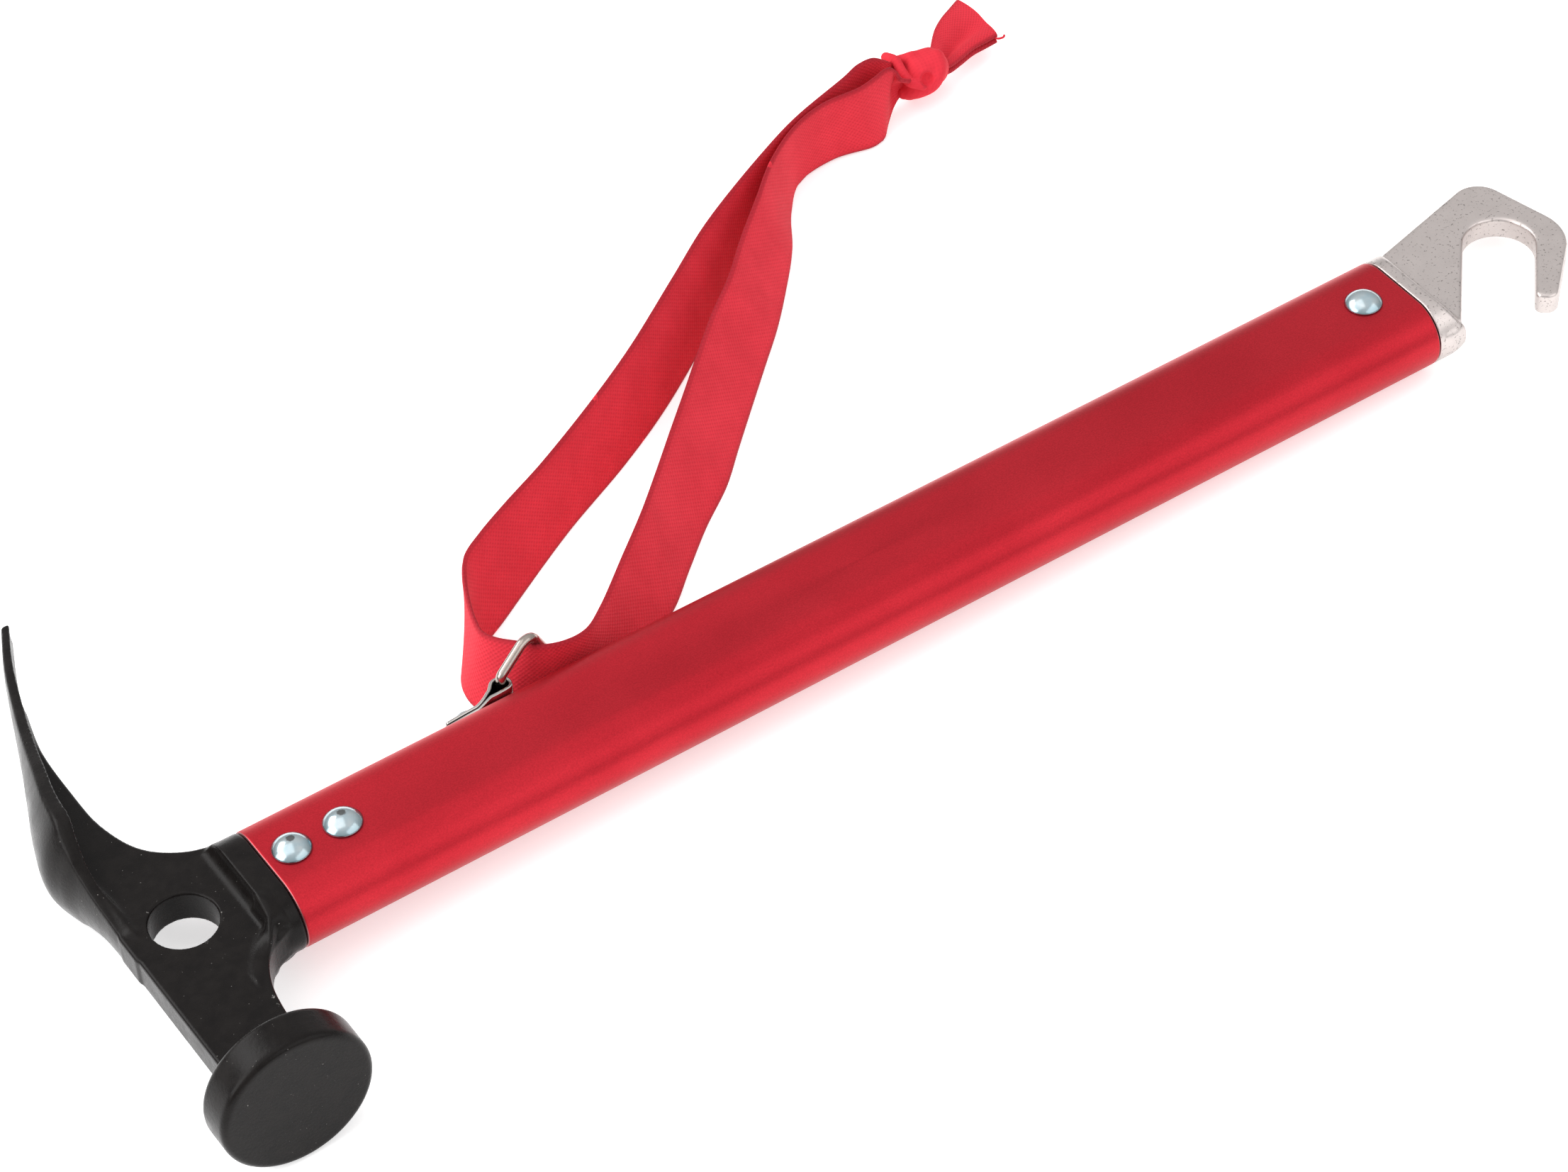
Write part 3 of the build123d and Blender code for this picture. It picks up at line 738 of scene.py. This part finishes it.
# The band stands on edge. Each station holds its upper edge and its lower edge, from the knot down
# the far leg, round through the ring, and back up the near leg. Many were worked out by a projection
# script, and some of those were moved by hand afterwards.
BAND = (
    ((219.6, 110.4, 6.6), (220.0, 109.8, 1.0)),
    ((216.8, 109.4, 9.4), (216.8, 109.2, -1.0)),
    ((214.1, 109.4, 11.1), (213.6, 108.8, -2.0)),
    ((210.6, 109.2, 11.3), (210.2, 108.2, -2.5)),
    ((206.6, 107.9, 11.1), (206.5, 106.6, -2.6)),
    ((192.4, 103.6, 10.9), (195.5, 103.4, -3.2)),
    ((182.0, 99.6, 10.0), (185.5, 98.9, -3.7)),
    ((163.0, 90.3, 8.7), (166.5, 87.2, -4.7)),
    ((149.5, 81.5, 8.0), (153.0, 76.8, -5.5)),
    ((133.3, 70.9, 7.2), (136.3, 65.6, -6.4)),
    ((120.1, 63.4, 6.6), (122.8, 58.2, -7.1)),
    ((104.2, 55.4, 5.9), (106.6, 50.6, -7.6)),
    ((94.0, 51.0, 5.5), (96.8, 45.4, -8.1)),
    ((86.4, 47.4, 5.2), (89.4, 41.2, -8.3)),
    ((81.5, 44.4, 5.0), (83.4, 37.8, -8.5)),
    ((78.8, 40.4, 4.9), (77.4, 34.8, -8.7)),
    ((76.4, 35.0, 4.9), (72.4, 32.0, -8.8)),
    ((74.6, 29.8, 5.1), (69.9, 28.0, -8.9)),
    ((73.8, 25.6, 5.5), (69.4, 24.2, -8.9)),
    ((74.8, 22.2, 6.2), (70.2, 20.6, -8.7)),
    ((77.1, 18.6, 6.9), (72.2, 17.3, -7.9)),
    ((79.4, 15.6, 7.1), (78.2, 15.2, -7.8)),
    ((83.5, 14.4, 6.6), (84.2, 14.2, -8.3)),
    ((88.6, 15.6, 5.4), (91.0, 14.8, -8.8)),
    ((94.0, 19.6, 4.4), (98.8, 16.4, -8.9)),
    ((104.3, 28.4, 4.1), (109.8, 22.2, -8.4)),
    ((112.5, 35.1, 4.6), (117.8, 29.0, -8.0)),
    ((120.2, 42.3, 4.4), (125.8, 35.7, -7.5)),
    ((128.4, 50.0, 4.6), (134.6, 42.1, -6.9)),
    ((135.3, 56.4, 4.8), (141.9, 49.1, -6.6)),
    ((150.9, 70.6, 5.9), (157.2, 63.4, -5.6)),
    ((158.6, 76.5, 6.9), (164.8, 70.5, -5.1)),
    ((166.2, 83.5, 7.9), (171.9, 78.1, -4.6)),
    ((174.1, 90.0, 9.3), (178.7, 86.1, -4.0)),
    ((181.8, 96.5, 10.2), (184.3, 94.9, -3.6)),
    ((190.3, 101.4, 10.9), (190.8, 101.4, -3.1)),
    ((198.5, 103.6, 11.2), (200.0, 103.0, -2.9)),
    ((207.6, 103.6, 11.0), (208.0, 101.4, -2.9)),
    ((211.9, 104.4, 11.2), (210.2, 101.7, -2.9)),
    ((213.6, 104.9, 11.2), (211.2, 102.1, -2.9)),
    ((215.3, 105.1, 10.9), (213.2, 104.1, -2.3)),
    ((216.5, 104.7, 9.6), (216.0, 106.2, -1.2)),
    ((217.2, 104.0, 7.8), (218.5, 107.1, 0.5)),
    ((219.4, 104.4, 6.0), (220.0, 106.4, 1.8)),
    ((221.8, 105.6, 4.8), (222.0, 106.8, 2.4)),
)


def webbing_mesh(name, sheet, width):
    """Webbing of even thickness whose middle surface is a grid of points, rows along and columns across."""
    rows, columns = sheet.shape[:2]
    middle = sheet[:, columns // 2]
    s = np.r_[0, np.cumsum(np.linalg.norm(np.diff(middle, axis=0), axis=1))]
    normal = np.cross(np.gradient(sheet, axis=0), np.gradient(sheet, axis=1))
    normal /= np.linalg.norm(normal, axis=2)[:, :, None]
    share = np.linspace(0, 1, columns)
    edge = np.minimum(share, 1 - share) * width
    half = STRAP_THICKNESS / 2 * (0.35 + 0.65 * np.clip(edge / 0.5, 0, 1) ** 0.5)
    front = sheet + normal * half[None, :, None]
    back = sheet - normal * half[None, :, None]
    points = np.concatenate([front, back[:, ::-1]], axis=1).reshape(-1, 3)
    ring = 2 * columns
    v = (share - 0.5) * width
    uv = np.stack(np.broadcast_arrays(s[:, None], np.r_[v, v[::-1]][None, :]), axis=2).reshape(-1, 2)
    faces = grid_faces(rows, ring, closed_columns=True)
    faces += [(j, j + 1, ring - 2 - j, ring - 1 - j) for j in range(columns - 1)]
    last = (rows - 1) * ring
    faces += [(last + j + 1, last + j, last + ring - 1 - j, last + ring - 2 - j) for j in range(columns - 1)]
    return make_object(name, points, faces, uv)


def wrist_strap():
    """The loop of webbing, from the knot through the ring and back."""
    stations = np.array(BAND).reshape(len(BAND), 6)
    edges = smooth_curve(stations, STRAP_ROWS)
    share = np.linspace(0, 1, STRAP_COLUMNS)[None, :, None]
    sheet = edges[:, None, :3] * (1 - share) + edges[:, None, 3:] * share
    # Past its last fold the near leg is drawn hollow, away from the view, as the knot gathers it
    along = np.arange(STRAP_ROWS) / (STRAP_ROWS / LOOP_LENGTH)
    gathered = np.clip((along - (LOOP_LENGTH - GATHERED_LENGTH)) / 4.0, 0, 1)[:, None]
    sheet[:, :, 1] += 2.2 * gathered * np.sin(math.pi * share[:, :, 0])
    return webbing_mesh("strap", sheet, STRAP_WIDTH)


# ---------------------------------------------------------------- knot and tails

KNOT_STEP = 0.16
# Rounded rolls of webbing: points along each, its radius, and how softly it meets what is under it.
# Many of these points, and of the tails' below, were worked out by a projection script too.
KNOT_ROLLS = (
    (((223.3, 107.1, 3.1), (226.0, 107.0, 4.5)), 3.7, 0.4),
    (((222.0, 108.5, 0.6), (226.0, 109.5, 1.4)), 2.5, 1.0),
    (((220.9, 111.0, 5.9), (223.6, 109.5, 6.6), (226.6, 108.4, 6.7)), 1.2, 0.9),
    (((223.1, 108.7, 6.7), (223.2, 106.0, 6.1), (223.3, 104.4, 5.0)), 1.2, 1.2),
    (
        (
            (227.4, 106.6, 7.0),
            (226.4, 104.3, 5.5),
            (224.1, 103.5, 3.6),
            (221.3, 104.9, 2.2),
            (219.7, 106.9, 1.5),
        ),
        1.4,
        0.5,
    ),
    (((219.5, 112.0, 6.0), (222.5, 112.8, 3.5), (226.0, 111.6, 1.6), (228.0, 108.8, 1.2)), 1.2, 0.6),
    (
        (
            (219.3, 112.3, 7.0),
            (219.9, 110.0, 7.3),
            (219.7, 107.5, 6.3),
            (220.0, 105.3, 5.0),
            (221.9, 103.7, 4.3),
        ),
        1.0,
        0.15,
    ),
)
KNOT_HOLLOW = (222.9, 103.3, 5.5)
KNOT_HOLLOW_RADIUS = 1.25
# The two cut ends, flat and one over the other. Each station holds the far edge and the near edge.
TAIL_TOP = (
    ((226.6, 109.0, 4.5), (226.6, 105.9, 4.0)),
    ((229.4, 111.8, 4.6), (229.7, 105.6, 3.6)),
    ((233.3, 116.1, 4.2), (233.2, 106.6, 3.3)),
    ((237.0, 119.0, 3.8), (237.1, 107.8, 3.2)),
    ((240.6, 121.1, 3.4), (240.3, 108.2, 3.1)),
    ((243.5, 122.8, 3.0), (243.4, 108.6, 3.0)),
)
TAIL_DROP = (-0.2, -0.1, -1.3)
THREAD = (
    (243.2, 109.4, 3.0),
    (242.9, 108.6, 2.8),
    (243.3, 108.2, 2.7),
    (244.5, 108.1, 2.6),
    (244.9, 108.4, 2.7),
)
THREAD_RADIUS = 0.22


def roll_distance(x, y, z, points, radius):
    """Signed distance to a roll: a round bar along a bent line."""
    nearest = np.full(np.broadcast(x, y, z).shape, 1e9, np.float32)
    for a, b in zip(np.array(points[:-1]), np.array(points[1:])):
        along = b - a
        share = ((x - a[0]) * along[0] + (y - a[1]) * along[1] + (z - a[2]) * along[2]) / (along @ along)
        share = np.clip(share, 0, 1)
        apart = [(c - a[k] - share * along[k]) ** 2 for k, c in enumerate((x, y, z))]
        nearest = np.minimum(nearest, apart[0] + apart[1] + apart[2])
    return np.sqrt(nearest) - radius


def strap_knot():
    """The knot itself: rolls of webbing drawn tight over each other, with a hollow in the middle."""
    low = (215.0, 99.0, -3.0)
    x, y, z = field_axes(low, (232.0, 116.5, 11.0), KNOT_STEP)
    solid = np.full(np.broadcast(x, y, z).shape, 10.0, np.float32)
    for points, radius, softness in KNOT_ROLLS:
        path = smooth_curve(points, 4 * len(points)) if len(points) > 2 else points
        solid = joined(solid, roll_distance(x, y, z, path, radius), softness)
    hollow = roll_distance(x, y, z, (KNOT_HOLLOW, np.add(KNOT_HOLLOW, 0.1)), KNOT_HOLLOW_RADIUS)
    solid = cut(solid, hollow, 0.4)
    knot = solid_from_field("knot", solid, low, KNOT_STEP)
    lay_weave(knot, (0.55, -0.75, -0.35), (0.75, 0.62, -0.1))
    return knot


def lay_weave(obj, along, across):
    """Give a solid the webbing's coordinates, laid straight on from one side."""
    mesh = obj.data
    points = np.zeros(len(mesh.vertices) * 3)
    mesh.vertices.foreach_get("co", points)
    points = (points.reshape(-1, 3) - points.reshape(-1, 3).mean(axis=0)) / MM
    uv = np.stack([points @ np.array(along), np.clip(points @ np.array(across), -5.0, 5.0)], axis=1)
    corner = np.zeros(len(mesh.loops), np.int32)
    mesh.loops.foreach_get("vertex_index", corner)
    layer = mesh.uv_layers.new(name="surface")
    layer.data.foreach_set("uv", uv[corner].astype(np.float32).ravel())


def strap_tail(name, drop, bulge):
    """One cut end: gathered at the knot, fanning out with a soft valley, its end bowed by bulge."""
    rows, columns = 90, 31
    edges = smooth_curve(np.array(TAIL_TOP).reshape(-1, 6), rows)
    share = np.linspace(0, 1, columns)[None, :, None]
    grow = np.linspace(0, 1, rows)[:, None, None]
    sheet = edges[:, None, :3] * (1 - share) + edges[:, None, 3:] * share
    onward = np.array((0.97, -0.22, 0.0))
    sheet = sheet + onward * (bulge * np.sin(math.pi * share**0.8) * grow**4)
    valley = -1.2 * np.exp(-(((share - 0.62) / 0.18) ** 2)) + 0.5 * np.exp(-(((share - 0.84) / 0.12) ** 2))
    lift = valley * np.sin(math.pi * np.clip(grow, 0, 1) * 0.85 + 0.25)
    sheet = sheet + np.array((0.0, 0.0, 1.0)) * lift + np.array(drop)
    return webbing_mesh(name, sheet, STRAP_WIDTH)


def frayed_thread():
    """One loose thread at the tails' cut end."""
    return swept_tube("thread", smooth_curve(THREAD, 24), THREAD_RADIUS, sides=10)


# ---------------------------------------------------------------- build and dress the pieces

black = black_coating()
red = red_anodised()
plate = plated_metal("plated_hook", (0.62, 0.56, 0.54, 1), (0.13, 0.11, 0.10, 1), 0.28, 0.42, 1.3, 0.61)
# The clip's material paints shade on the inner faces of its folded strip.
sheet_metal = plated_metal(
    "plated_clip", (0.50, 0.47, 0.45, 1), (0.2, 0.18, 0.17, 1), 0.2, 0.32, 0.9, 0.7, painted_shade_inside=True
)
wire_metal = plated_metal("nickel_wire", (0.42, 0.36, 0.325, 1), (0.2, 0.16, 0.14, 1), 0.14, 0.26, 1.1, 0.68)
zinc = rivet_zinc("rivet_zinc_marked", True)
plain_zinc = rivet_zinc("rivet_zinc", False)
webbing = red_webbing("red_webbing", 1.0)
knotted_webbing = red_webbing("red_webbing_knotted", 0.4)

pieces = (
    (hammer_head(), black, "handle", "hammer_head", "black_coating"),
    (handle_tube(), red, "handle", "handle_tube", "red_anodised"),
    (peg_hook(), plate, "handle", "peg_hook", "plated_hook"),
    (rivet("head_rivet_1", HEAD_RIVETS_X[0]), zinc, "handle", "head_rivets", "zinc_rivet"),
    (rivet("head_rivet_2", HEAD_RIVETS_X[1]), zinc, "handle", "head_rivets", "zinc_rivet"),
    (rivet("hook_rivet_1", HOOK_RIVET_X), plain_zinc, "handle", "hook_rivet", "zinc_rivet"),
    (clip_rivet(), plain_zinc, "handle", "clip_rivet", "zinc_rivet"),
    (ring_clip(), sheet_metal, "handle", "ring_clip", "plated_clip"),
    (d_ring(), wire_metal, "ring", "d_ring", "nickel_wire"),
    (wrist_strap(), webbing, "strap", "wrist_strap", "red_webbing"),
    (strap_knot(), knotted_webbing, "strap", "strap_knot", "red_webbing"),
    (strap_tail("tail_upper", (0, 0, 0), 0.9), webbing, "strap", "strap_knot", "red_webbing"),
    (strap_tail("tail_lower", TAIL_DROP, 0.3), webbing, "strap", "strap_knot", "red_webbing"),
    (frayed_thread(), webbing, "strap", "strap_knot", "red_webbing"),
)
for piece, material, body, node, slot in pieces:
    give(piece, material)
    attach(piece, body)
    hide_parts(node)


# ---------------------------------------------------------------- floor, light and camera

REST_Z, REST_SLOPE_X, REST_SLOPE_Y = -13.66, 0.0181, 0.0491


def add_floor():
    """A pale floor on the plane that the hammer rests on, which tilts a little in the row frame."""
    half = 3000.0
    corners = []
    for x, y in ((-half, -half), (half, -half), (half, half), (-half, half)):
        corners.append((x, y, REST_Z - 0.25 + REST_SLOPE_X * (x - DISC_X) + REST_SLOPE_Y * (y - DISC_Y)))
    floor = make_object("floor", corners, [(0, 1, 2, 3)])
    pale = Nodes("floor_paper", Roughness=0.9, Specular_IOR_Level=0.1, Emission_Strength=0.42)
    pale.shader.inputs["Emission Color"].default_value = (1, 1, 1, 1)
    grain = pale.noise(pale.place((PER_M, PER_M, PER_M)), 0.4, 3.0, 0.6)
    pale.set("Base Color", pale.mix(grain, (0.93, 0.93, 0.93, 1), (0.955, 0.955, 0.955, 1)))
    give(floor, pale.material)


def add_area_light(name, towards, distance, size, power, aim=(0.12, 0.02, 0.0)):
    """A soft square light in that direction from the object, facing it."""
    data = bpy.data.lights.new(name, "AREA")
    data.shape = "RECTANGLE"
    data.size, data.size_y = size
    data.energy = power
    light = bpy.data.objects.new(name, data)
    bpy.context.scene.collection.objects.link(light)
    direction = Vector(towards).normalized()
    light.location = Vector(aim) + direction * distance
    light.rotation_euler = direction.to_track_quat("Z", "Y").to_euler()


def add_world():
    """A white studio: bright overhead, greyer low down, so that metal has something to show."""
    world = bpy.data.worlds.new("studio")
    world.use_nodes = True
    tree = world.node_tree
    background = tree.nodes["Background"]
    place = tree.nodes.new("ShaderNodeTexCoord")
    split = tree.nodes.new("ShaderNodeSeparateXYZ")
    height = tree.nodes.new("ShaderNodeMapRange")
    for socket, value in (("From Min", 0.05), ("From Max", 0.85), ("To Min", 0.5), ("To Max", 0.95)):
        height.inputs[socket].default_value = value
    tree.links.new(place.outputs["Generated"], split.inputs[0])
    tree.links.new(split.outputs["Z"], height.inputs["Value"])
    tree.links.new(height.outputs[0], background.inputs["Strength"])
    background.inputs["Color"].default_value = (1, 1, 1, 1)
    bpy.context.scene.world = world


def add_camera():
    """The photograph's view: from in front of the head's end, 45 degrees above the floor."""
    position = Vector((-185.36, -501.85, 590.72)) * MM
    forward = Vector((0.36941, 0.60752, -0.70317)).normalized()
    right = Vector((0.82861, -0.55788, -0.04668)).normalized()
    up = right.cross(forward).normalized()
    right = forward.cross(up)
    data = bpy.data.cameras.new("view")
    data.sensor_width = 36.0
    data.lens = 109.6
    data.clip_start = 0.05
    data.clip_end = 20.0
    camera = bpy.data.objects.new("view", data)
    bpy.context.scene.collection.objects.link(camera)
    turn = Matrix((right, up, -forward)).transposed().to_4x4()
    camera.matrix_world = Matrix.Translation(position) @ turn
    bpy.context.scene.camera = camera


add_floor()
add_world()
add_area_light("overhead", (-0.35, 0.10, 1.0), 1.3, (1.2, 1.2), 3.2)
add_area_light("back_left", (-0.45, 0.60, 0.62), 1.2, (0.8, 0.5), 4.5)
add_area_light("front_right", (0.37, -0.76, 0.50), 1.1, (1.3, 0.8), 3.0)
add_area_light("left", (-1.0, 0.1, 0.55), 1.2, (0.8, 0.8), 6.0)
add_camera()
bpy.context.scene.view_settings.view_transform = "Standard"
